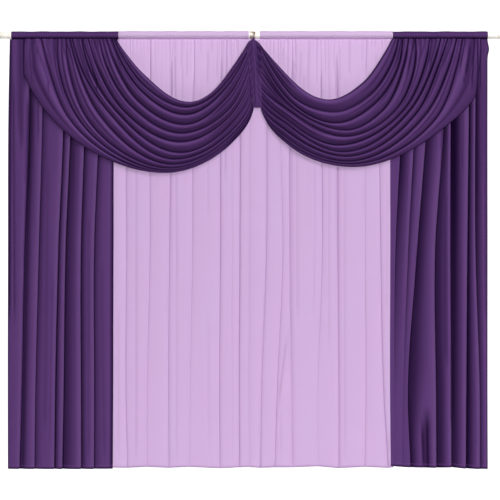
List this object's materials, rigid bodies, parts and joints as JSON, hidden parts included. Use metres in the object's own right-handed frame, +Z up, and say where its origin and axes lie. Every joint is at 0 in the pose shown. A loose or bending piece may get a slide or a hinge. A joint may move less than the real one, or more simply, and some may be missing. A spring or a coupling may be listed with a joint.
{
  "type": "curtains with swag valance on a curtain rod",
  "caption": "Long pleated side curtains over pale inner panels, with gathered swags that meet at a centre band, on a straight round rod.",
  "frame": {"origin": "on the rod's axis, half way along the rod", "axes": "+X along the rod to the right as seen from the room, +Y back towards the wall, +Z up; the room is on the -Y side"},
  "size_m": [2.1156, 0.0821, 1.8207],
  "materials": {
    "purple_jersey": "matte knit",
    "lilac_jersey": "matte knit",
    "rod_enamel": "satin cream paint",
    "cap_plastic": "satin",
    "hook_brass": "polished"
  },
  "bodies": {
    "root": {"rod": "rod_enamel", "rod_cap_left": "cap_plastic", "rod_cap_right": "cap_plastic", "centre_hook": "hook_brass", "hanging_loop": "purple_jersey", "heading_left": "purple_jersey", "heading_right": "purple_jersey", "lilac_heading_left": "lilac_jersey", "lilac_heading_right": "lilac_jersey", "curtain_left": "purple_jersey", "curtain_right": "purple_jersey", "lilac_left": "lilac_jersey", "lilac_right": "lilac_jersey", "swag_left": "purple_jersey", "swag_right": "purple_jersey", "swag_centre_band": "purple_jersey"}
  },
  "joints": []
}
